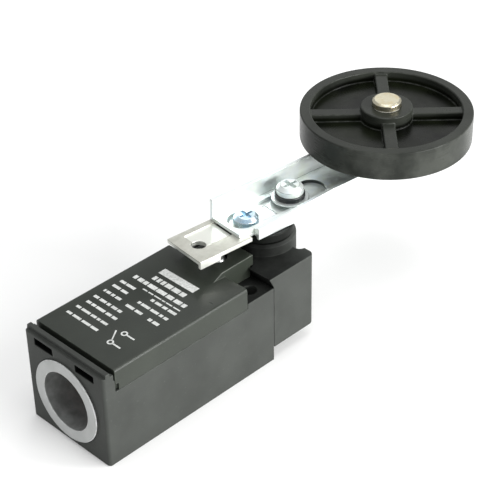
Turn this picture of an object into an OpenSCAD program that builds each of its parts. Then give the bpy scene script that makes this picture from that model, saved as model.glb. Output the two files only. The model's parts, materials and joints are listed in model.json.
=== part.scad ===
// Compact side-cable limit switch with an adjustable-length roller lever.
// The origin is the centre of the two fixing holes, on the mounting face.
// +X runs from the cable entry to the lever head, +Z leaves the mounting face.

/* [Housing] */
// Width of the housing and of the head
body_w = 31; // [30:0.5:32]
// Distance from the fixing holes to the face with the cable entry
entry_reach = 56.2; // [55.5:0.1:60]
// Height of the cover's top face over the mounting face
cover_top = 29.75; // [29.5:0.25:31]
// Height of the joint between the housing and the cover's skirt
rim_z = 23; // [22.5:0.25:23.5]
// Height of the shoulders that hold the fixing holes
shoulder_z = 24.6; // [24.5:0.1:25]
// Thickness of the housing's side walls
wall = 2.4; // [2:0.1:2.6]

/* [Mounting] */
// Distance between the two fixing holes
hole_pitch = 22; // [21.5:0.5:22]
// Diameter of a fixing hole
hole_d = 4.3; // [4.2:0.1:4.5]
// Bore of the cable entry, the core size of a Pg 11 thread
entry_d = 17.3; // [16:0.1:17.5]
// Height of the cable entry's axis
entry_z = 13.5; // [13.25:0.25:14]

/* [Head] */
// Length of the head from its joint with the housing
head_len = 16.5; // [16:0.25:16.75]
// Height of the head's lower face
head_bottom = 4.3; // [4:0.1:5]
// Height of the head's flat upper face
head_top = 28; // [27.5:0.1:28]
// Radius of the round turret that carries the shaft
turret_r = 9.2; // [8.8:0.1:9.4]
// Height of the turret's rim
turret_top = 31.5; // [31.4:0.1:31.5]
// Distance from the fixing holes to the shaft's axis
shaft_x = 17; // [16.5:0.1:17]
// Radius of the lever shaft
shaft_r = 4; // [3.9:0.05:4]

/* [Lever] */
// Direction of the lever seen from above
lever_angle = -5.8; // [-30:0.1:30]
// Width of the lever
lever_w = 14.7; // [14.5:0.1:15.5]
// Distance from the shaft to the tail of the bracket
tail_len = 27.9; // [27:0.1:29]
// Distance from the shaft to the roller's axis
roller_reach = 46.5; // [46:0.5:56]
// Height of the bracket's lower face
bracket_z = 35.2; // [35.2:0.1:35.4]
// Height of the arm's tall far wall
far_wall_top = 43; // [41:0.1:43.1]
// Height of the arm's low near wall
near_wall_top = 39.8; // [38.5:0.1:41]

/* [Roller] */
// Diameter of the roller
roller_d = 50; // [40:1:50]
// Height of the roller's lower face
roller_z = 43.6; // [43.6:0.1:44]
// Thickness of the roller's rim
roller_t = 8.7; // [8:0.1:10]
// Width of the rim round the recess
rim_w = 3.1; // [2.5:0.1:4]
// Depth of the recess on each face
recess = 3.1; // [2:0.1:3.2]
// Width of the four cross ribs
rib_w = 3.7; // [3:0.1:4.5]

/* [Contacts] */
// Full travel of the plunger
plunger_travel = 2.2; // [2:0.1:2.2]
// Distance that the contact bridge crosses
contact_gap = 1.6; // [1.4:0.1:1.6]
// Distance from the fixing holes to the terminals next to the head
terminal_near = -17; // [-17.2:0.1:-16.8]
// Distance from the fixing holes to the terminals next to the cable entry
terminal_far = -39; // [-39.2:0.1:-38.8]
// Sideways distance of each terminal from the centre line
terminal_y = 7.6; // [7.4:0.1:7.8]

/* [Hidden] */
$fn = 64;

eps = 0.01;
entry_x = -entry_reach;
ledge_w = 1;
lip_t = 1.4;
lip_top = cover_top + 0.1;
lip_base = 28.7;
lip_x = entry_x + 3.9;
boss_x = lip_x + 6;
boss_w = 24;
cavity_x = -7.5;
floor_t = wall;
cover_x = -5;
joint_x = 5;
gasket_t = 0.2;
head_x = joint_x + gasket_t;
head_end = joint_x + head_len;
tongue_x = 4.7;
tongue_w = 13.9;
tongue_top = 31.4;
cover_t = 1.8;
post_r = 2;
corner_r = 1;
collar_r = 12.4;
insert_x = entry_x - 0.2;
flange_r = 12.1;
flange_t = 0.4;
sleeve_r = 10.2;
axis_z = 14;
tappet_r = 3;
tappet_tip = -9;
nose_x = shaft_x - 7.9;
chamber_r = 7.4;
chamber_top = 20.4;
cam_r = 6.5;
seal_z = 28;
screw_y = 6;
screw_zs = [9.5, 20];
block_front = -13;
block_back = -43;
block_top = 19;
ledge_z = 17.2;
tab_t = 0.8;
room_front = -21.5;
room_back = -34.5;
bridge_x = -27.3;
tip_y = 6.5;
bracket_t = 1.2;
arm_z = bracket_z + bracket_t;
arm_t = 1.1;
floor_z = arm_z + arm_t;
arm_tail = -13;
wall_u = -7.7;
skirt = 0.7;
slot_r = 4.1;
slot_start = -7.6;
slot_end = 17.7;
locating_u = -6.2;
clamp_u = 9.8;
shank_r = 1.95;
nut_flats = 7;
square_w = 5.6;
hub_z = turret_top + 0.4;
hub_r = 8.6;
pin_r = 2.5;
web_z = roller_z + recess;
web_t = roller_t - 2 * recess;
hub_top = roller_z + roller_t + 1;

// Lays its children out in the lever's own directions, with the shaft's axis as Z
module on_lever() {
    translate([shaft_x, 0, 0]) rotate([0, 0, lever_angle]) children();
}

// A box given by its two opposite corners
module block(low, high) {
    translate(low) cube(high - low);
}

// A round bar along X
module bar_x(x0, x1, y, z, r) {
    translate([x0, y, z]) rotate([0, 90, 0]) cylinder(r = r, h = x1 - x0);
}

// A round bar along Z
module bar_z(x, y, z0, z1, r) {
    translate([x, y, z0]) cylinder(r = r, h = z1 - z0);
}

// A ring along Z
module ring_z(x, y, z0, z1, r_out, r_in) {
    difference() {
        bar_z(x, y, z0, z1, r_out);
        bar_z(x, y, z0 - 1, z1 + 1, r_in);
    }
}

// A plan outline with round corners of radius r at its low-X end
module end_rounded(x0, x1, w, r) {
    translate([x0 + r, -w / 2]) square([x1 - x0 - r, w]);
    translate([x0, -w / 2 + r]) square([r + eps, w - 2 * r]);
    for (side = [-1, 1]) translate([x0 + r, side * (w / 2 - r)]) circle(r);
}

// An end view with round upper corners of radius r
module top_rounded(w, z0, z1, r) {
    translate([-w / 2, z0]) square([w, z1 - r - z0]);
    translate([-w / 2 + r, z0]) square([w - 2 * r, z1 - z0]);
    for (side = [-1, 1]) translate([side * (w / 2 - r), z1 - r]) circle(r);
}

// A coil of round wire that starts on the plane z = 0 and winds about Z
module coil(radius, wire_r, turns, height) {
    sides = 8;
    steps = ceil(turns * 18);
    rise = height - 2 * wire_r;
    points = [
        for (i = [0:steps])
            let (a = 360 * turns * i / steps, z = wire_r + rise * i / steps)
                for (k = [0:sides - 1])
                    let (b = 360 * k / sides, r = radius + wire_r * cos(b))
                        [r * cos(a), r * sin(a), z + wire_r * sin(b)]
    ];
    walls = [
        for (i = [0:steps - 1], k = [0:sides - 1])
            let (n = (k + 1) % sides)
                [i * sides + k, i * sides + n, (i + 1) * sides + n, (i + 1) * sides + k]
    ];
    first = [for (k = [sides - 1:-1:0]) k];
    last = [for (k = [0:sides - 1]) steps * sides + k];
    polyhedron(points, concat([first], walls, [last]), convexity = 10);
}

// A straight slot along X with round ends
module slot(x0, x1, z0, z1, r) {
    bar_z(x0, 0, z0, z1, r);
    bar_z(x1, 0, z0, z1, r);
    block([x0, -r, z0], [x1, r, z1]);
}

// The cross-shaped driver recess of a screw head, as the tool to cut it with
module cross_recess(size, depth) {
    for (turn = [0, 90]) rotate([0, 0, turn])
        block([-size / 2, -size / 9, -depth], [size / 2, size / 9, 1]);
}

// A pan-head screw standing on z = 0, with its shank below
module pan_screw(head_r, head_h, thread_r, length) {
    difference() {
        union() {
            cylinder(r = head_r, h = head_h * 0.6);
            translate([0, 0, head_h * 0.6]) cylinder(r1 = head_r, r2 = head_r * 0.72, h = head_h * 0.4);
        }
        translate([0, 0, head_h]) cross_recess(head_r * 1.15, head_h * 0.55);
    }
    translate([0, 0, -length]) cylinder(r = thread_r, h = length);
}

// ---- Housing and cover ----

module housing() {
    color([0.10, 0.11, 0.10]) difference() {
        union() {
            linear_extrude(rim_z) end_rounded(entry_x, joint_x, body_w, corner_r);
            end_wall(entry_x, lip_x, lip_base - 2);
            end_wall(entry_x, entry_x + ledge_w + lip_t, lip_base);
            block([entry_x + ledge_w, -body_w / 2, rim_z], [entry_x + ledge_w + lip_t, body_w / 2, lip_top]);
            for (side = [0, 1]) mirror([0, side, 0])
                block([entry_x + ledge_w, body_w / 2 - 1.2, rim_z], [lip_x - 0.4, body_w / 2, lip_base]);
            block([cover_x + 0.1, -body_w / 2, rim_z - 1], [joint_x, body_w / 2, shoulder_z]);
            block([lip_x - eps, -boss_w / 2, rim_z - 1], [boss_x, boss_w / 2, 26.4]);
            bar_x(insert_x, entry_x + 1, 0, entry_z, collar_r);
        }
        block([boss_x, -body_w / 2 + wall, floor_t], [cavity_x, body_w / 2 - wall, 40]);
        bar_x(insert_x - 1, boss_x + 1, 0, entry_z, sleeve_r + 0.05);
        bar_x(cavity_x - 1, joint_x + 1, 0, axis_z, tappet_r + 0.06);
        for (side = [-1, 1]) {
            bar_z(0, side * hole_pitch / 2, -1, shoulder_z + 1, hole_d / 2);
            for (z = screw_zs) bar_x(cavity_x - 1, joint_x + 1, side * screw_y, z, 1.5);
            block([entry_x - 1, side * 8.1 - 3.6, 25.7], [entry_x + 1.6, side * 8.1 + 3.6, 27.9]);
        }
        bar_z(-1.5, 0, 18.1, 40, 1.4);
    }
}

// A slice of the housing's plan outline, between two distances from the cable entry
module end_wall(x0, x1, height) {
    linear_extrude(height) intersection() {
        end_rounded(entry_x, joint_x, body_w, corner_r);
        translate([x0, -body_w / 2]) square([x1 - x0, body_w]);
    }
}

module cover() {
    color([0.13, 0.15, 0.14]) difference() {
        union() {
            translate([lip_x + 0.1, 0, 0]) rotate([90, 0, 90])
                linear_extrude(cover_x - lip_x - 0.1)
                    top_rounded(body_w, rim_z + 0.05, cover_top, 0.8);
            translate([0, tongue_w / 2, 0]) rotate([90, 0, 0]) linear_extrude(tongue_w)
                polygon([
                    [cover_x - 4.5, cover_top - cover_t], [cover_x - 4.5, cover_top],
                    [cover_x - 1, tongue_top], [tongue_x, tongue_top],
                    [tongue_x, shoulder_z + 0.05], [cover_x - 1, shoulder_z + 0.05]
                ]);
            block([tongue_x - 1, -tongue_w / 2, head_top + 0.1], [tongue_x + 1.1, tongue_w / 2, tongue_top]);
        }
        block([lip_x + 1.9, -body_w / 2 + cover_t, 0],
              [cover_x - cover_t, body_w / 2 - cover_t, cover_top - cover_t]);
        block([lip_x, -boss_w / 2 - 0.2, 0], [lip_x + 2.5, boss_w / 2 + 0.2, 26.6]);
        bar_z(-1.5, 0, 0, 40, 1.6);
        bar_z(-1.5, 0, 29, 40, 3.1);
        for (side = [-1, 1]) block([lip_x, side * body_w / 2 - 0.8, rim_z - 1],
                                   [lip_x + 1.2, side * body_w / 2 + 0.8, rim_z + 2.2]);
    }
}

module cover_screw() {
    color([0.72, 0.74, 0.76]) translate([-1.5, 0, 29]) pan_screw(2.8, 2, 1.35, 10.8);
}

module cover_gasket() {
    top = cover_top - cover_t;
    half = body_w / 2 - cover_t - 0.1;
    color([0.05, 0.05, 0.05]) difference() {
        block([boss_x + 0.4, -half, rim_z], [cover_x - cover_t - 0.1, half, top]);
        block([boss_x + 1.4, -half + 1, rim_z - 1], [cover_x - cover_t - 1.1, half - 1, top + 1]);
    }
}

module conduit_insert() {
    color([0.78, 0.80, 0.80]) difference() {
        union() {
            bar_x(insert_x - flange_t, insert_x, 0, entry_z, flange_r);
            bar_x(insert_x - eps, boss_x, 0, entry_z, sleeve_r);
        }
        bar_x(insert_x - 2, boss_x + 1, 0, entry_z, entry_d / 2);
    }
}

// ---- Contact block ----

module contact_block() {
    rod_r = 2.1;
    color([0.55, 0.10, 0.08]) difference() {
        block([block_back, -11, floor_t], [block_front, 11, block_top]);
        block([room_back, -9.5, 6], [room_front, 9.5, 40]);
        bar_x(block_back + 1, block_front + 1, 0, axis_z, rod_r);
        for (x = [terminal_near, terminal_far], side = [-1, 1]) {
            block([x - 4.1, side * 7.6 - 3.6, ledge_z], [x + 4.1, side * 7.6 + 3.6, 40]);
            bar_z(x, side * terminal_y, 9, 40, 1.75);
        }
        for (side = [-1, 1]) {
            block([terminal_far, side * 7.6 - 2.9, ledge_z], [terminal_near, side * 7.6 + 2.9, 40]);
        }
    }
}

module block_cap() {
    color([0.75, 0.72, 0.60])
        block([room_back - 0.2, -10.9, block_top], [room_front + 0.2, 10.9, block_top + 1.3]);
}

// One pair of fixed contacts: a tab under each terminal screw, a leg and a silver tip
module fixed_contacts(screw_x, leg_x, tip_x) {
    far = screw_x < leg_x ? screw_x - 3.2 : screw_x + 3.2;
    for (side = [-1, 1]) difference() {
        union() {
            block([min(far, leg_x), side * tip_y + (side > 0 ? -1.4 : -3.9), ledge_z],
                  [max(far, leg_x + tab_t), side * tip_y + (side > 0 ? 3.9 : 1.4), ledge_z + tab_t]);
            block([leg_x, side * tip_y - 1.4, axis_z - 1.6],
                  [leg_x + tab_t, side * tip_y + 1.4, ledge_z + tab_t]);
            bar_x(tip_x, tip_x + 0.5, side * tip_y, axis_z, 1.2);
        }
        bar_z(screw_x, side * terminal_y, 0, 40, 1.75);
    }
}

module nc_terminals() {
    color([0.80, 0.62, 0.28]) fixed_contacts(terminal_near, bridge_x + 1.3, bridge_x + 0.8);
}

module no_terminals() {
    leg = bridge_x - 0.3 - contact_gap - 0.5 - tab_t;
    color([0.80, 0.62, 0.28]) fixed_contacts(terminal_far, leg, leg + tab_t);
}

module terminal_clamps() {
    low = ledge_z + tab_t;
    color([0.75, 0.76, 0.78])
        for (x = [terminal_near, terminal_far], side = [-1, 1]) difference() {
            block([x - 3, side * terminal_y - 2.9, low], [x + 3, side * terminal_y + 2.9, low + 1.1]);
            bar_z(x, side * terminal_y, 0, 40, 1.75);
        }
}

module terminal_screws() {
    color([0.72, 0.74, 0.76])
        for (x = [terminal_near, terminal_far], side = [-1, 1])
            translate([x, side * terminal_y, ledge_z + tab_t + 1.1]) pan_screw(2.8, 2, 1.65, 9);
}

module contact_plunger() {
    color([0.85, 0.85, 0.80]) difference() {
        union() {
            bar_x(-37.8, tappet_tip, 0, axis_z, 2);
            block([-32, -2.2, axis_z - 4], [-24.8, 2.2, axis_z + 4]);
        }
        block([-30.6, -5, axis_z - 1.7], [-25.9, 5, axis_z + 1.7]);
    }
}

module plunger_spring() {
    color([0.75, 0.76, 0.78]) translate([block_back + 1.1, 0, axis_z]) rotate([0, 90, 0])
        coil(1.6, 0.2, 3.5, 4);
}

module contact_bridge() {
    color([0.80, 0.50, 0.30]) {
        block([bridge_x, -7.8, axis_z - 1.5], [bridge_x + 0.5, 7.8, axis_z + 1.5]);
        for (side = [-1, 1]) bar_x(bridge_x - 0.3, bridge_x + 0.8, side * tip_y, axis_z, 1.2);
    }
}

module contact_spring() {
    color([0.75, 0.76, 0.78]) translate([-30.5, 0, axis_z]) rotate([0, 90, 0]) coil(1.2, 0.15, 4, 3.1);
}

// ---- Head ----

// The head's block: a round post at each far corner, a valley beside the turret and a lip over the joint
module head_block() {
    half = body_w / 2;
    difference() {
        union() {
            block([head_x, -half, head_bottom], [head_end - post_r, half, head_top]);
            block([head_x, -half + post_r, head_bottom], [head_end, half - post_r, head_top]);
            for (side = [-1, 1])
                bar_z(head_end - post_r, side * (half - post_r), head_bottom, head_top, post_r);
        }
        for (side = [-1, 1])
            bar_z(head_end + 0.2, side * (half - 6), head_bottom - 1, head_top + 1, post_r);
    }
    for (side = [0, 1]) mirror([0, side, 0])
        translate([0, half, 0]) rotate([90, 0, 0]) linear_extrude(half - tongue_w / 2 - 0.2)
            polygon([
                [head_x + eps, shoulder_z + 0.3],
                [head_x - 1.6, head_top],
                [head_x + eps, head_top]
            ]);
}

module head_housing() {
    color([0.10, 0.11, 0.10]) difference() {
        union() {
            head_block();
            bar_z(shaft_x, 0, head_bottom, turret_top - 0.7, turret_r);
            translate([shaft_x, 0, turret_top - 0.7]) cylinder(r1 = turret_r, r2 = turret_r - 0.7, h = 0.7);
        }
        bar_z(shaft_x, 0, 9.4, chamber_top, chamber_r);
        block([head_x - 1, -4, 9.4], [shaft_x, 4, chamber_top - 0.4]);
        bar_z(shaft_x, 0, 6.1, 10, 3.05);
        bar_z(shaft_x, 0, chamber_top - 1, 40, 6);
        bar_z(shaft_x, 0, seal_z, 40, 6.6);
        for (side = [-1, 1], z = screw_zs) bar_x(head_x - 1, 9.1, side * screw_y, z, 1.4);
    }
}

module head_gasket() {
    color([0.05, 0.05, 0.05]) difference() {
        block([joint_x, -body_w / 2 + 0.2, head_bottom + 0.3], [head_x, body_w / 2 - 0.2, shoulder_z - 0.2]);
        bar_x(joint_x - 1, head_x + 1, 0, axis_z, tappet_r + 0.8);
        for (side = [-1, 1], z = screw_zs) bar_x(joint_x - 1, head_x + 1, side * screw_y, z, 1.5);
    }
}

module head_screws() {
    color([0.72, 0.74, 0.76])
        for (side = [-1, 1], z = screw_zs)
            translate([cavity_x, side * screw_y, z]) rotate([0, -90, 0]) pan_screw(2.6, 1.9, 1.35, 16.4);
}

module head_tappet() {
    color([0.85, 0.85, 0.80]) {
        bar_x(tappet_tip, nose_x, 0, axis_z, tappet_r);
        translate([nose_x, 0, axis_z]) rotate([0, 90, 0]) cylinder(r1 = tappet_r, r2 = 1.8, h = 0.9);
    }
}

module shaft_bush() {
    color([0.72, 0.55, 0.32]) ring_z(shaft_x, 0, chamber_top, seal_z, 6, shaft_r + 0.04);
}

module shaft_seal() {
    color([0.05, 0.05, 0.05]) ring_z(shaft_x, 0, seal_z, turret_top - 0.3, 6.6, shaft_r + 0.06);
}

module shaft() {
    color([0.70, 0.72, 0.74]) on_lever() {
        translate([0, 0, 6.3]) cylinder(r = 3, h = 3.4);
        translate([0, 0, 9.6]) cylinder(r = shaft_r, h = hub_z - 9.6);
        block([-square_w / 2, -square_w / 2, hub_z - 1], [square_w / 2, square_w / 2, arm_z - 0.1]);
    }
}

module cam() {
    color([0.85, 0.85, 0.80]) on_lever() difference() {
        translate([0, 0, 9.8]) cylinder(r = cam_r, h = 6.6);
        translate([0, 0, 9]) cylinder(r = shaft_r, h = 9);
        rotate([0, 0, -lever_angle]) translate([0, 0, 9]) linear_extrude(9)
            polygon([[-cam_r - 1, -3.4], [-cam_r + 1.7, 0], [-cam_r - 1, 3.4]]);
    }
}

module circlip() {
    color([0.30, 0.31, 0.32]) on_lever() difference() {
        ring_z(0, 0, chamber_top - 0.95, chamber_top - 0.2, 5.6, shaft_r);
        block([-7, -1.5, 0], [0, 1.5, 40]);
    }
}

module torsion_spring() {
    color([0.75, 0.76, 0.78]) translate([shaft_x, 0, 16.6]) coil(5.2, 0.35, 3, 2.7);
}

// ---- Lever ----

module square_hole(z0, z1) {
    block([-square_w / 2, -square_w / 2, z0], [square_w / 2, square_w / 2, z1]);
}

// The moulded hub, cut back for the bracket's skirts and for the flat of the nut
module lever_hub() {
    color([0.09, 0.09, 0.09]) on_lever() difference() {
        translate([0, 0, hub_z]) cylinder(r = hub_r, h = bracket_z - hub_z);
        square_hole(0, 40);
        bar_z(locating_u, 0, 0, 50, shank_r);
        block([clamp_u - nut_flats / 2 - 0.1, -hub_r, 0], [hub_r + 1, hub_r, 50]);
        for (turn = [0, 180]) rotate([0, 0, turn])
            block([-hub_r - 1, lever_w / 2 - 1.1, bracket_z - skirt - 0.1], [hub_r + 1, hub_r + 1, 50]);
    }
}

module lever_bracket() {
    half = lever_w / 2;
    bracket_end = 23.5;
    window = [[-24.2, -2.3], [-11.8, 5.4]];
    color([0.80, 0.82, 0.84]) on_lever() {
        difference() {
            union() {
                block([-tail_len, -half, bracket_z], [bracket_end, half, arm_z]);
                block([wall_u, half - 1, bracket_z - skirt], [bracket_end, half, arm_z]);
                block([wall_u, -half, bracket_z - skirt], [bracket_end, -half + 1, arm_z]);
                block([-tail_len, -half, bracket_z - 1.2], [-tail_len + 7, -half + 1, arm_z]);
            }
            square_hole(0, 50);
            block([window[0][0] + 0.6, window[0][1], 0], [window[1][0], window[1][1], 50]);
            bar_z(window[0][0] + 1.3, window[0][1] + 2.2, 0, 50, 2.1);
            block([wall_u - 2.2, -half - 1, 0], [wall_u, -half + 2, 50]);
            for (u = [locating_u, clamp_u]) bar_z(u, 0, 0, 50, shank_r);
        }
        difference() {
            block([window[0][0] + 0.8, window[0][1] + 0.5, bracket_z - 0.6],
                  [window[1][0] - 1.3, window[1][1] + eps, arm_z - 0.4]);
            bar_z(window[0][0] + 1.3, window[0][1] + 2.2, 0, 50, 2.1);
        }
    }
}

module length_arm() {
    half = lever_w / 2;
    wall_end = roller_reach - 4;
    color([0.80, 0.82, 0.84]) on_lever() difference() {
        union() {
            block([arm_tail, -half, arm_z], [roller_reach, half, floor_z]);
            bar_z(roller_reach, 0, arm_z, floor_z, half);
            block([arm_tail, half - arm_t, arm_z], [wall_end, half, far_wall_top]);
            block([wall_u, -half, arm_z], [wall_end, -half + arm_t, near_wall_top]);
        }
        slot(slot_start, slot_end, 0, 60, slot_r);
        bar_z(roller_reach, 0, 0, 60, pin_r);
        block([arm_tail - 1, -half - 1, 0], [wall_u, -half + 2, 60]);
        translate([wall_u, 0, near_wall_top]) rotate([0, -4, 0])
            block([-9, -half - 1, -1.9], [26, -half + 2, 20]);
    }
}

module locating_screw() {
    color([0.66, 0.76, 0.84]) on_lever() translate([locating_u, 0, arm_z])
        pan_screw(3.6, 2.5, shank_r, arm_z - hub_z - 0.3);
}

module clamp_screw() {
    color([0.72, 0.76, 0.76]) on_lever() translate([clamp_u, 0, floor_z + 1.9])
        pan_screw(3.9, 2.6, shank_r, floor_z + 1.9 - hub_z - 0.2);
}

module flat_washer() {
    color([0.75, 0.78, 0.78]) on_lever() ring_z(clamp_u, 0, floor_z, floor_z + 0.5, 5.4, shank_r + 0.1);
}

module spring_washer() {
    color([0.70, 0.72, 0.72]) on_lever() difference() {
        ring_z(clamp_u, 0, floor_z + 0.5, floor_z + 1.9, 4.3, shank_r + 0.1);
        translate([clamp_u, 0, 0]) rotate([0, 0, -50]) block([0, -0.3, 0], [6, 0.3, 60]);
    }
}

module clamp_nut() {
    color([0.72, 0.74, 0.76]) on_lever() difference() {
        translate([clamp_u, 0, bracket_z - 3.1]) rotate([0, 0, 30])
            cylinder(r = nut_flats / sqrt(3), h = 3.1, $fn = 6);
        bar_z(clamp_u, 0, 0, 50, shank_r);
    }
}

// ---- Roller ----

module roller() {
    r = roller_d / 2;
    top = roller_z + roller_t;
    color([0.09, 0.10, 0.09]) on_lever() translate([roller_reach, 0, 0]) difference() {
        union() {
            difference() {
                translate([0, 0, roller_z]) cylinder(r = r, h = roller_t, $fn = 120);
                translate([0, 0, web_z + web_t]) cylinder(r = r - rim_w, h = 20, $fn = 120);
                translate([0, 0, roller_z - 20]) cylinder(r = r - rim_w, h = 20 + recess, $fn = 120);
            }
            translate([0, 0, roller_z - 0.4]) cylinder(r = 7.5, h = hub_top - roller_z + 0.4);
            for (turn = [0, 90]) rotate([0, 0, turn - 45 - lever_angle])
                block([-r + rim_w / 2, -rib_w / 2, roller_z + 1], [r - rim_w / 2, rib_w / 2, top - 0.8]);
        }
        cylinder(r = 4, h = 80);
    }
}

module roller_bush() {
    color([0.86, 0.84, 0.74]) on_lever()
        ring_z(roller_reach, 0, roller_z - 0.4, hub_top, 4, pin_r + 0.05);
}

module roller_washer() {
    color([0.75, 0.78, 0.78]) on_lever()
        ring_z(roller_reach, 0, roller_z - 1.2, roller_z - 0.5, 6, pin_r);
}

module roller_pin() {
    color([0.78, 0.72, 0.56]) on_lever() translate([roller_reach, 0, 0]) {
        translate([0, 0, arm_z - 0.9]) cylinder(r = 4, h = 0.9);
        translate([0, 0, arm_z - eps]) cylinder(r = pin_r, h = hub_top + 0.1 - arm_z + 2 * eps);
        difference() {
            translate([0, 0, floor_z]) cylinder(r = 4, h = roller_z - 1.2 - floor_z);
            translate([0, 0, floor_z - 1]) cylinder(r = pin_r - eps, h = 20);
        }
        translate([0, 0, hub_top + 0.1]) cylinder(r = 4.2, h = 1.6);
        translate([0, 0, hub_top + 1.7]) cylinder(r1 = 4.2, r2 = 3.6, h = 0.5);
    }
}

housing();
cover();
cover_screw();
cover_gasket();
conduit_insert();
contact_block();
block_cap();
nc_terminals();
no_terminals();
terminal_screws();
terminal_clamps();
contact_plunger();
plunger_spring();
contact_bridge();
contact_spring();
head_housing();
head_gasket();
head_screws();
head_tappet();
shaft_bush();
shaft_seal();
shaft();
cam();
circlip();
torsion_spring();
lever_hub();
lever_bracket();
length_arm();
locating_screw();
clamp_screw();
flat_washer();
spring_washer();
clamp_nut();
roller();
roller_bush();
roller_pin();
roller_washer();
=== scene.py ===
# Looks for a compact side-cable limit switch with a large roller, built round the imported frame.
# Everything is in metres, in the frame's own directions: +X towards the lever head, +Z up.

import json
import math
import random

import bmesh
import bpy
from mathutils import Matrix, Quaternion, Vector

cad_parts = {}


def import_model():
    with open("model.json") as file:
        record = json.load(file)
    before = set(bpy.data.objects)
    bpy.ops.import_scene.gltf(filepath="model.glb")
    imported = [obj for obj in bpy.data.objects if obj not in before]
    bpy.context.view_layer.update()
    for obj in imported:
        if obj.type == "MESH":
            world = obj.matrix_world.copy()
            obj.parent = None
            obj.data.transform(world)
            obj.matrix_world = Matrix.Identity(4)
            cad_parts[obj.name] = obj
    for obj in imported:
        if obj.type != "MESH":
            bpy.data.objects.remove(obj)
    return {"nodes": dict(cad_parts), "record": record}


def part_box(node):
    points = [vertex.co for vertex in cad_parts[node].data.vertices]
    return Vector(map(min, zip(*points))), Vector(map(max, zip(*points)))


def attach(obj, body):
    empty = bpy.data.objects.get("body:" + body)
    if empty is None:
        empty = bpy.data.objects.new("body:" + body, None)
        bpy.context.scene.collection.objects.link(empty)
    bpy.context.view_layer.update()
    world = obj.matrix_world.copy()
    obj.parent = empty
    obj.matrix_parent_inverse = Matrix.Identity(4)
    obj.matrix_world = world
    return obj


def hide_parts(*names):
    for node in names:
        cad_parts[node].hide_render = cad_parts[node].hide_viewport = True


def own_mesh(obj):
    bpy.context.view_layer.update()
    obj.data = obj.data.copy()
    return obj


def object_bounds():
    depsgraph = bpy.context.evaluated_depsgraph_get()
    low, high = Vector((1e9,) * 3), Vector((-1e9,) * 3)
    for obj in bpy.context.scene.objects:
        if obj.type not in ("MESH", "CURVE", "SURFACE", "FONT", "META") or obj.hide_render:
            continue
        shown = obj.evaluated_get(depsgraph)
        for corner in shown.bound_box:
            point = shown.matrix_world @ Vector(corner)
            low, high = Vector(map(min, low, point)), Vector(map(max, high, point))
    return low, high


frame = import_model()
cad_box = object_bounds()

MM = 0.001
nodes = frame["nodes"]
slot_of = {s["node"]: s["material_slot"] for s in frame["record"]["subparts"]}
body_of = {
    node: body
    for body, members in frame["record"]["behaviour"]["bodies"].items()
    for node in members
}
random.seed(7)


# ---- Materials ----

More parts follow.
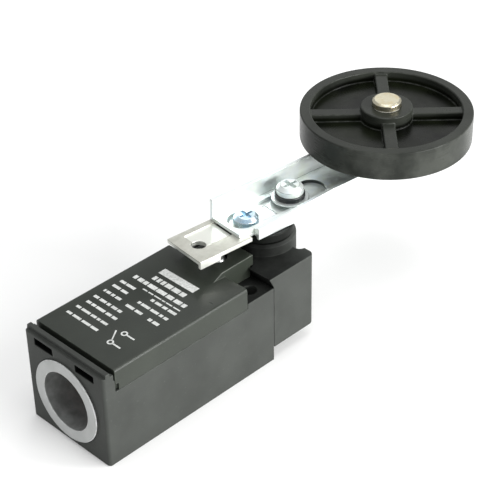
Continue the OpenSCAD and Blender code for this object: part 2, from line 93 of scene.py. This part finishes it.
class Graph:
    """A short way to write a material's nodes. A value is a number or a socket."""

    def __init__(self, name):
        self.material = bpy.data.materials.new(name)
        self.material.use_nodes = True
        self.tree = self.material.node_tree
        self.shader = self.tree.nodes["Principled BSDF"]
        self.place = self.add("ShaderNodeTexCoord").outputs["Object"]

    def add(self, kind, **settings):
        node = self.tree.nodes.new(kind)
        for key, value in settings.items():
            setattr(node, key, value)
        return node

    def link(self, source, target):
        self.tree.links.new(source, target)

    def axes(self):
        """The object's X, Y and Z coordinates."""
        split = self.add("ShaderNodeSeparateXYZ")
        self.link(self.place, split.inputs["Vector"])
        return split.outputs["X"], split.outputs["Y"], split.outputs["Z"]

    def scaled(self, factors):
        """The object's coordinates, stretched by a factor along each axis."""
        mapping = self.add("ShaderNodeMapping")
        mapping.inputs["Scale"].default_value = factors
        self.link(self.place, mapping.inputs["Vector"])
        return mapping.outputs["Vector"]

    def noise(self, size_mm, detail=3.0, place=None):
        """Noise from 0 to 1 whose lumps are about size_mm across."""
        node = self.add("ShaderNodeTexNoise")
        node.inputs["Scale"].default_value = 1000.0 / size_mm
        node.inputs["Detail"].default_value = detail
        node.inputs["Roughness"].default_value = 0.55
        self.link(place or self.place, node.inputs["Vector"])
        return node.outputs["Fac"]

    def spread(self, value, low, high, from_low=0.3, from_high=0.7):
        """The value carried from one range to another. Noise seldom leaves 0.3 to 0.7."""
        node = self.add("ShaderNodeMapRange")
        self.link(value, node.inputs["Value"])
        node.inputs["From Min"].default_value = from_low
        node.inputs["From Max"].default_value = from_high
        node.inputs["To Min"].default_value = low
        node.inputs["To Max"].default_value = high
        return node.outputs["Result"]

    def rises(self, value, ends):
        """0 up to the first of the two ends, and 1 from the second."""
        return self.spread(value, 0, 1, *ends)

    def falls(self, value, ends):
        """1 up to the first of the two ends, and 0 from the second."""
        return self.spread(value, 1, 0, *ends)

    def band(self, value, rise, fall):
        """1 between two pairs of ends, and 0 outside them."""
        return self.product(self.rises(value, rise), self.falls(value, fall))

    def math(self, operation, *values):
        node = self.add("ShaderNodeMath", operation=operation)
        for socket, value in zip(node.inputs, values):
            if isinstance(value, (int, float)):
                socket.default_value = value
            else:
                self.link(value, socket)
        return node.outputs["Value"]

    def product(self, first, *others):
        for other in others:
            first = self.math("MULTIPLY", first, other)
        return first

    def weighted(self, first, first_share, second, second_share):
        return self.math("ADD", self.product(first, first_share), self.product(second, second_share))

    def distance(self, across, along):
        """How far a place is from an axis, from its distances in two directions."""
        squares = self.math("ADD", self.math("POWER", across, 2.0), self.math("POWER", along, 2.0))
        return self.math("SQRT", squares)

    def mixed(self, share, first, second):
        """A colour that goes from first to second; each is a colour or a socket."""
        node = self.add("ShaderNodeMix", data_type="RGBA")
        self.link(share, node.inputs[0])
        for socket, colour in ((node.inputs[6], first), (node.inputs[7], second)):
            if isinstance(colour, tuple):
                socket.default_value = (*colour, 1.0)
            else:
                self.link(colour, socket)
        return node.outputs[2]

    def clouds(self, size_mm, first, second, detail=3.0, from_low=0.3, from_high=0.7):
        """Two colours that run into each other in lumps about size_mm across."""
        share = self.spread(self.noise(size_mm, detail), 0, 1, from_low, from_high)
        return self.mixed(share, first, second)

    def rubbed(self, size_mm, detail, low, high, from_low=0.4, from_high=0.6):
        """How much of the surface is worn off, in patches on a softened piece's edges and nowhere else."""
        edge = self.add("ShaderNodeAttribute", attribute_name="edge").outputs["Fac"]
        patches = self.spread(self.noise(size_mm, detail), low, high, from_low, from_high)
        return self.product(edge, patches)

    def bump(self, height, strength, depth_mm):
        node = self.add("ShaderNodeBump")
        node.inputs["Strength"].default_value = strength
        node.inputs["Distance"].default_value = depth_mm * MM
        self.link(height, node.inputs["Height"])
        self.link(node.outputs["Normal"], self.shader.inputs["Normal"])

    def colour(self, source):
        self.link(source, self.shader.inputs["Base Color"])

    def roughness(self, source):
        self.link(source, self.shader.inputs["Roughness"])

    def constant(self, socket, value):
        self.shader.inputs[socket].default_value = value


def shade(rgb, factor):
    return tuple(min(1.0, c * factor) for c in rgb)


def span(start_mm, end_mm, origin=0.0):
    """Two places in metres, each given in millimetres from an origin in metres."""
    return origin + start_mm * MM, origin + end_mm * MM


def moulded_colour(g, rgb, mottle, worn):
    """Slow changes of tone, small pale specks, and edges rubbed paler."""
    tone = g.clouds(9.0, shade(rgb, 1 - mottle), shade(rgb, 1 + mottle))
    specks = g.spread(g.noise(0.9, 2.0), 0, 0.35, 0.66, 0.74)
    rub = g.rubbed(2.2, 5.0, 0.1, 1.0, 0.38, 0.62)
    return g.mixed(rub, g.mixed(specks, tone, shade(rgb, 1.8)), shade(rgb, worn))


def smeared(g, rough):
    """The roughness of a moulding that has been handled, in broad smears."""
    smear = g.noise(14.0, 4.0, g.scaled((1.0, 0.35, 1.0)))
    return g.spread(smear, rough - 0.06, rough + 0.07)


def plastic(name, rgb, rough, grain_mm=0.35, grain_depth=0.012, mottle=0.12, worn=1.6, specular=0.5):
    """A moulding: spark-eroded grain, slow tone changes, handling marks and edges rubbed paler."""
    g = Graph(name)
    g.colour(moulded_colour(g, rgb, mottle, worn))
    g.roughness(smeared(g, rough))
    g.bump(g.noise(grain_mm, 2.0), 0.6, grain_depth)
    g.constant("Specular IOR Level", specular)
    return g.material


def corner_shade(g):
    """1 in the corner between the housing and the head, above the shoulders, fading along the head, where
    shade is painted.
    """
    x, y, z = g.axes()
    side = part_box("housing")[1].y
    along = g.band(x, span(-6.5, -4.5), span(13, 25))
    inward = g.falls(g.math("ABSOLUTE", y), span(-0.4, -0.1, side))
    raised = g.rises(z, span(24.3, 24.5))
    patchy = g.spread(g.noise(5.0, 4.0), 0.75, 1.0)
    return g.product(along, inward, raised, patchy)


def end_slot_shade(g):
    """1 inside the two slots in the housing's end face, where shade is painted."""
    x, y, z = g.axes()
    low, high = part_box("housing")
    depth = g.band(x, span(0.25, 0.45, low.x), span(1.9, 2.0, low.x))
    height = g.band(z, span(25.6, 25.65), span(27.95, 28.0))
    inward = g.falls(g.math("ABSOLUTE", y), span(-3.4, -3.2, high.y))
    return g.product(depth, height, inward)


def housing_moulding():
    """Matt black moulding of the housing and head, with painted shade in their corner and in the end face's
    slots.
    """
    g = Graph("body_plastic")
    clean = moulded_colour(g, (0.041, 0.044, 0.040), 0.12, 1.5)
    # Painted shade: the corner between housing and head and the insides of the end face's slots are painted
    # almost black.
    dark = g.math("MAXIMUM", corner_shade(g), end_slot_shade(g))
    g.colour(g.mixed(dark, clean, (0.0015, 0.002, 0.0015)))
    g.roughness(g.mixed(dark, smeared(g, 0.50), (0.75, 0.75, 0.75)))
    g.bump(g.noise(0.35, 2.0), 0.6, 0.012)
    g.constant("Specular IOR Level", 0.15)
    return g.material


def metal(name, rgb, rough, tints, streak=(1, 1, 1), wave_mm=6.0, worn=(0.75, 0.76, 0.76),
          rubbed=(0.2, 0.9), metallic=1.0, marks=None):
    """Metal, plated or bare: rolled streaks, cloudy tints and rubbed edges.

    Each tint is a size in mm, a colour and its greatest share. marks(g) gives pairs of a share and a
    colour, for areas that are painted differently, such as painted shade and a painted highlight.
    """
    g = Graph(name)
    colour = g.clouds(5.0, shade(rgb, 0.93), shade(rgb, 1.04))
    for size, tint, share in tints:
        cloud = g.noise(size, 2.0, g.scaled((1.0, 1.1 + size / 20, 0.9)))
        colour = g.mixed(g.spread(cloud, 0, share, 0.5, 0.68), colour, tint)
    colour = g.mixed(g.rubbed(1.6, 4.0, *rubbed), colour, worn)
    for share, tint in (marks(g) if marks else ()):
        colour = g.mixed(share, colour, tint)
    g.colour(colour)
    lines = g.noise(0.5, 3.0, g.scaled(streak))
    g.roughness(g.spread(g.weighted(lines, 0.5, g.noise(3.0, 4.0), 0.5), rough - 0.07, rough + 0.09))
    g.bump(g.math("ADD", g.noise(wave_mm, 1.0), g.product(lines, 0.04)), 0.5, 0.02)
    g.constant("Metallic", metallic)
    return g.material


def lever_plating(name, marks=None):
    """Blue-white zinc of the lever, its clamp screw and washer: streaks along X, and grey rubbed edges."""
    return metal(name, (0.84, 0.89, 0.87), 0.34,
                 [(7.0, (0.74, 0.84, 0.92), 0.5), (5.0, (0.82, 0.88, 0.74), 0.45)],
                 streak=(0.12, 1.6, 1.6), wave_mm=9.0, worn=(0.36, 0.39, 0.37), rubbed=(0.5, 1.0),
                 metallic=0.72, marks=marks)


def tail_shade_and_highlight(g):
    """The bracket's tail is painted a duller, warmer grey as painted shade, and the tab pressed down in it
    is painted paler as a painted highlight.
    """
    x, _, z = g.axes()
    low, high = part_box("lever_bracket")
    tail = g.falls(x, span(18.5, 19.5, low.x))
    tab = g.product(tail, g.falls(z, span(-0.35, -0.25, high.z)))
    # Painted shade: the tail's duller grey; the tab's paler colour is a painted highlight.
    grey = g.clouds(2.5, (0.48, 0.48, 0.42), (0.60, 0.60, 0.54), detail=4.0)
    return (tail, grey), (tab, (0.76, 0.77, 0.71))


def dark_slot_end(g):
    """The wall at the roller's end of the arm's slot is painted dark."""
    x, y, z = g.axes()
    arm_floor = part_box("length_arm")[0].z
    screw_low, screw_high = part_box("clamp_screw")
    slot_y = (screw_low.y + screw_high.y) / 2 - 0.8 * MM
    end = g.band(x, span(3.4, 3.8, screw_high.x), span(8.6, 8.8, screw_high.x))
    beside = g.falls(g.math("ABSOLUTE", g.math("SUBTRACT", y, slot_y)), span(4.3, 4.5))
    below = g.falls(z, span(1.0, 1.05, arm_floor))
    return ((g.product(end, below, beside), (0.035, 0.04, 0.038)),)


def rubber(name, rgb):
    g = Graph(name)
    g.colour(g.clouds(4.0, shade(rgb, 0.8), shade(rgb, 1.5)))
    g.roughness(g.spread(g.noise(1.5), 0.6, 0.8))
    g.bump(g.noise(0.3, 2.0), 0.5, 0.01)
    return g.material


def insert_moulding():
    """Pale grey flange; the bore behind it is painted a darker, mottled grey as painted shade."""
    g = Graph("insert_plastic")
    x, y, z = g.axes()
    low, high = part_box("conduit_insert")
    radius = g.distance(y, g.math("SUBTRACT", z, (low.z + high.z) / 2))
    bore = g.product(g.rises(x, span(0.05, 0.35, low.x)), g.falls(radius, span(8.85, 9.0)))
    pale = g.clouds(6.0, (0.38, 0.39, 0.38), (0.46, 0.47, 0.46))
    # Painted shade: the inside of the bore is painted a darker grey.
    bore_shade = g.clouds(3.0, (0.14, 0.145, 0.14), (0.25, 0.26, 0.25), detail=4.0)
    rub = g.rubbed(1.2, 4.0, 0.0, 0.8)
    g.colour(g.mixed(bore, g.mixed(rub, pale, (0.72, 0.73, 0.72)), bore_shade))
    g.roughness(g.spread(g.noise(5.0, 4.0), 0.42, 0.58))
    g.bump(g.noise(0.4, 2.0), 0.5, 0.012)
    return g.material


def roller_moulding():
    """Glossy black nylon with fine turned lines, a tread used paler in patches and a darker, sunken web."""
    g = Graph("roller_plastic")
    x, y, z = g.axes()
    low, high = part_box("roller")
    across = g.math("SUBTRACT", x, (low.x + high.x) / 2)
    along = g.math("SUBTRACT", y, (low.y + high.y) / 2)
    tread = g.rises(g.distance(across, along), span(-0.35, -0.1, (high.x - low.x) / 2))
    sunk = g.falls(z, span(-3.2, -2.4, high.z))
    rim = g.clouds(12.0, (0.020, 0.022, 0.018), (0.030, 0.033, 0.027), detail=2.0)
    web = g.clouds(9.0, (0.002, 0.0025, 0.0015), (0.008, 0.010, 0.005), detail=4.0)
    used = g.clouds(11.0, (0.018, 0.020, 0.017), (0.044, 0.047, 0.041), 4.0, 0.4, 0.6)
    rub = g.rubbed(1.8, 5.0, 0.1, 0.8, 0.4, 0.62)
    g.colour(g.mixed(tread, g.mixed(rub, g.mixed(sunk, rim, web), (0.045, 0.048, 0.042)), used))
    lines = g.noise(1.0, 2.0, g.scaled((0.12, 0.12, 2.2)))
    g.roughness(g.spread(g.weighted(lines, 0.35, g.noise(7.0, 5.0), 0.65), 0.20, 0.38))
    g.bump(g.math("ADD", g.noise(0.5, 2.0), lines), 0.35, 0.010)
    g.constant("Specular IOR Level", 0.12)
    return g.material


materials = {
    "body_plastic": housing_moulding(),
    "cover_plastic": plastic("cover_plastic", (0.022, 0.026, 0.020), 0.32, grain_mm=0.5, grain_depth=0.006,
                             worn=2.4, specular=0.35),
    "insert_plastic": insert_moulding(),
    "block_plastic": plastic("block_plastic", (0.22, 0.03, 0.02), 0.45),
    "cap_plastic": plastic("cap_plastic", (0.62, 0.58, 0.44), 0.40),
    "rubber": rubber("rubber", (0.022, 0.022, 0.022)),
    "contact_brass": metal("contact_brass", (0.74, 0.56, 0.26), 0.30, [(3.0, (0.60, 0.40, 0.16), 0.5)]),
    "steel": metal("steel", (0.66, 0.68, 0.69), 0.30, [(3.0, (0.55, 0.60, 0.66), 0.4)],
                   streak=(1, 1, 0.2)),
    "lever_zinc": lever_plating("lever_zinc"),
    "blue_zinc": metal("blue_zinc", (0.60, 0.75, 0.84), 0.28, [(2.5, (0.46, 0.66, 0.82), 0.8)]),
    "spring_steel": metal("spring_steel", (0.050, 0.054, 0.056), 0.38, [(2.0, (0.12, 0.11, 0.10), 0.4)],
                          worn=(0.16, 0.16, 0.16)),
    "bush_bronze": metal("bush_bronze", (0.52, 0.36, 0.20), 0.42, [(2.0, (0.34, 0.22, 0.12), 0.6)]),
    "mech_plastic": plastic("mech_plastic", (0.68, 0.66, 0.58), 0.40, mottle=0.05, worn=1.1),
    "hub_plastic": plastic("hub_plastic", (0.004, 0.005, 0.004), 0.50, grain_mm=0.8, grain_depth=0.03,
                           worn=1.4, specular=0.15),
    "roller_plastic": roller_moulding(),
    "pin_metal": metal("pin_metal", (0.60, 0.56, 0.42), 0.30, [(2.5, (0.54, 0.44, 0.24), 0.6)],
                       worn=(0.66, 0.64, 0.56)),
}

# Two nodes of the slot "lever_zinc" have marks of their own.
special = {
    "lever_bracket": lever_plating("bracket_zinc", tail_shade_and_highlight),
    "length_arm": lever_plating("arm_zinc", dark_slot_end),
}


def look_of(node):
    return special.get(node) or materials[slot_of[node]]


def paint(obj, material):
    """Puts one material on the object's own slots, and leaves its mesh alone."""
    if not obj.material_slots:
        obj.data.materials.append(None)
    for s in obj.material_slots:
        s.link = "OBJECT"
        s.material = material


for name, node in nodes.items():
    paint(node, look_of(name))


# ---- Pieces ----

WELD = 1e-6  # metres between corners that are one
FLAT = math.radians(1.0)  # the greatest angle between triangles of one face
SHARP = math.radians(35)  # the smallest angle of an edge that is rounded

ROUNDED_MM = {
    "housing": 0.2, "cover": 0.22, "head_housing": 0.22, "conduit_insert": 0.2, "lever_bracket": 0.14,
    "length_arm": 0.14, "lever_hub": 0.3, "roller": 0.4, "clamp_nut": 0.2, "cover_screw": 0.12,
    "locating_screw": 0.14, "clamp_screw": 0.14, "flat_washer": 0.15, "spring_washer": 0.1,
    "roller_pin": 0.15, "roller_washer": 0.12, "roller_bush": 0.12, "shaft": 0.2, "shaft_seal": 0.15,
}


def placed(name, mesh):
    piece = bpy.data.objects.new(name, mesh)
    bpy.context.scene.collection.objects.link(piece)
    return piece


def stand_in(piece, node):
    """Gives a piece the look and the body of the CAD node that it replaces, and hides the node."""
    paint(piece, look_of(node))
    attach(piece, body_of[node])
    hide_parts(node)


def softened(node, width_mm):
    """A copy of a CAD node with rounded edges, which replaces it. Its edges carry the attribute "edge"."""
    mesh = nodes[node].data.copy()
    piece = placed(node + "_shell", mesh)
    bm = bmesh.new()
    bm.from_mesh(mesh)
    bmesh.ops.remove_doubles(bm, verts=bm.verts, dist=WELD)
    bmesh.ops.dissolve_limit(bm, angle_limit=FLAT, verts=bm.verts, edges=bm.edges)
    bm.to_mesh(mesh)
    bm.free()
    if mesh.has_custom_normals:
        with bpy.context.temp_override(object=piece, active_object=piece, selected_objects=[piece]):
            bpy.ops.mesh.customdata_custom_splitnormals_clear()
    # The second material slot marks the faces that the bevel makes.
    while len(mesh.materials) < 2:
        mesh.materials.append(None)
    for polygon in mesh.polygons:
        polygon.use_smooth = True
        polygon.material_index = 0
    bevel = piece.modifiers.new("edge", "BEVEL")
    bevel.width = width_mm * MM
    bevel.segments = 3
    bevel.limit_method = "ANGLE"
    bevel.angle_limit = SHARP
    bevel.use_clamp_overlap = False
    bevel.harden_normals = True
    bevel.miter_outer = "MITER_ARC"
    bevel.material = 1
    rounded = bpy.data.meshes.new_from_object(piece.evaluated_get(bpy.context.evaluated_depsgraph_get()))
    piece.modifiers.clear()
    flat = set()
    for polygon in rounded.polygons:
        if polygon.material_index == 0:
            flat.update(polygon.vertices)
    values = [0.0 if i in flat else 1.0 for i in range(len(rounded.vertices))]
    rounded.attributes.new("edge", "FLOAT", "POINT").data.foreach_set("value", values)
    for polygon in rounded.polygons:
        polygon.material_index = 0
    rounded.materials.clear()
    rounded.materials.append(None)
    piece.data = rounded
    stand_in(piece, node)


def shortening_spring(node):
    """A copy of a CAD spring along X, with a mesh of its own, which replaces it."""
    piece = placed(node + "_coil", nodes[node].data.copy())
    stand_in(piece, node)
    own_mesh(piece)


for node, width in ROUNDED_MM.items():
    softened(node, width)
shortening_spring("plunger_spring")


# ---- Print on the cover ----

# Lines of print, in mm: X of the line, Y of its two ends, and its width.
BROKEN_BARS = (
    (-18.5, -5.6, 7.4, 1.7), (-21.7, -9.2, 11.0, 1.5), (-24.0, -9.4, 5.0, 0.45),
    (-25.8, -9.8, -0.2, 1.0), (-25.6, 6.4, 12.2, 1.0), (-28.8, -9.8, 1.6, 1.0), (-28.3, 6.4, 12.2, 1.0),
    (-32.0, -9.8, -5.6, 1.1), (-31.8, -3.2, 3.2, 1.0), (-31.4, 5.6, 12.2, 1.0), (-34.9, 1.4, 12.2, 1.0),
    (-37.8, 0.0, 12.2, 1.0), (-41.0, 0.0, 12.2, 0.9), (-44.3, 0.0, 12.2, 0.9),
)
DASH_MM = (1.1, 3.4)  # shortest and longest dash
GAP_MM = (0.3, 0.6)
STUB_MM = 0.4  # a dash that the end of the line cuts shorter than this is left out
FLAT_TOP_END = -30 * MM  # the cover's tongue rises beyond this X
INK_HEIGHT = 0.02 * MM


def bar(x, y0, y1, w):
    return [(x - w / 2, y0), (x + w / 2, y0), (x + w / 2, y1), (x - w / 2, y1)]


def dashes(x, y0, y1, w):
    """A broken bar, such as stands in for a line of print."""
    found = []
    y = y0
    while y < y1:
        end = min(y1, y + random.uniform(*DASH_MM))
        if end - y > STUB_MM:
            found.append(bar(x, y, end, w))
        y = end + random.uniform(*GAP_MM)
    return found


def ring(x, y, r, w, steps=20):
    """A circle drawn with a stroke of width w, as quads."""
    found = []
    for i in range(steps):
        a, b = (math.radians(360 * k / steps) for k in (i, i + 1))
        found.append([(x + q * math.cos(t), y + q * math.sin(t))
                      for q, t in ((r - w / 2, a), (r + w / 2, a), (r + w / 2, b), (r - w / 2, b))])
    return found


def contact_symbol(near_x, far_x, y):
    """Two terminals, a lead from each, and a contact that stands open between them."""
    terminals = ring(near_x, y, 0.75, 0.45) + ring(far_x, y, 0.75, 0.45)
    contact = [(near_x + 0.7, y + 0.1), (near_x + 0.9, y + 0.6),
               (far_x - 0.6, y + 2.8), (far_x - 0.4, y + 2.4)]
    leads = [bar(x, y - 3.8, y - 0.9, 0.5) for x in (near_x, far_x)]
    return terminals + [contact] + leads


def cover_print():
    """Generic marks in the places of the print: a plain bar, broken bars and a contact symbol."""
    marks = [bar(-14.9, -6.0, 7.4, 2.6)]
    for line in BROKEN_BARS:
        marks += dashes(*line)
    marks += contact_symbol(-45.2, -40.4, -6.0)
    top = max(v.co.z for v in nodes["cover"].data.vertices if v.co.x < FLAT_TOP_END)
    bm = bmesh.new()
    for points in marks:
        bm.faces.new([bm.verts.new((x * MM, y * MM, top + INK_HEIGHT)) for x, y in points])
    mesh = bpy.data.meshes.new("cover_print")
    bm.to_mesh(mesh)
    bm.free()
    ink = Graph("print_ink")
    ink.colour(ink.clouds(0.6, (0.42, 0.43, 0.41), (0.66, 0.67, 0.65)))
    ink.roughness(ink.spread(ink.noise(2.0), 0.45, 0.6))
    piece = placed("cover_print", mesh)
    paint(piece, ink.material)
    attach(piece, "switch_body")


cover_print()


# ---- Stage, light and camera ----

def floor():
    """White paper just under the object, with a little light of its own."""
    mesh = bpy.data.meshes.new("floor")
    half = 3.0
    corners = [(-half, -half, 0), (half, -half, 0), (half, half, 0), (-half, half, 0)]
    mesh.from_pydata(corners, [], [(0, 1, 2, 3)])
    piece = placed("floor", mesh)
    piece.location.z = cad_box[0][2] - 0.05 * MM
    paper = Graph("floor_paper")
    paper.colour(paper.clouds(60.0, (0.77, 0.77, 0.76), (0.79, 0.79, 0.78), detail=2.0))
    paper.constant("Roughness", 0.9)
    paper.constant("Emission Color", (1.0, 1.0, 0.995, 1.0))
    paper.constant("Emission Strength", 0.16)
    paint(piece, paper.material)


def softbox(name, place, aim, size, power):
    data = bpy.data.lights.new(name, "AREA")
    data.energy = power
    data.shape = "RECTANGLE"
    data.size, data.size_y = size
    lamp = placed(name, data)
    lamp.location = place
    lamp.rotation_euler = (Vector(aim) - Vector(place)).to_track_quat("-Z", "Y").to_euler()


def camera():
    """The view of the reference: angles in radians, and the focal length in the photograph's pixels."""
    azimuth, elevation, roll = 0.790190569, 0.609052104, -0.019987634
    focal, photo_width = 1573.78325, 500
    data = bpy.data.cameras.new("camera")
    data.sensor_width = 36
    data.lens = data.sensor_width * focal / photo_width
    data.clip_start = 0.01
    eye = placed("camera", data)
    eye.location = (-0.242231197, -0.256235248, 0.278257425)
    ahead = Vector((math.cos(elevation) * math.cos(azimuth), math.cos(elevation) * math.sin(azimuth),
                    -math.sin(elevation)))
    eye.rotation_mode = "QUATERNION"
    eye.rotation_quaternion = ahead.to_track_quat("-Z", "Y") @ Quaternion((0, 0, 1), roll)
    bpy.context.scene.camera = eye


def world():
    """An even, slightly cool light from all sides."""
    studio = bpy.data.worlds.new("studio")
    bpy.context.scene.world = studio
    studio.use_nodes = True
    background = studio.node_tree.nodes["Background"]
    background.inputs["Color"].default_value = (0.97, 0.98, 1.0, 1.0)
    background.inputs["Strength"].default_value = 0.6


floor()
softbox("overhead", (0.05, 0.0, 0.9), (0, 0, 0), (0.7, 0.7), 3.4)
softbox("near_side", (0.15, -0.9, 0.16), (0, 0, 0.02), (0.5, 0.2), 12.5)
softbox("near_right", (0.46, -0.56, 0.50), (0, 0, 0.02), (0.25, 0.25), 3.0)
softbox("far_card", (0.74, 0.49, 0.56), (0.035, 0, 0.045), (0.50, 0.50), 0.60)
world()
camera()
bpy.context.scene.view_settings.view_transform = "Standard"
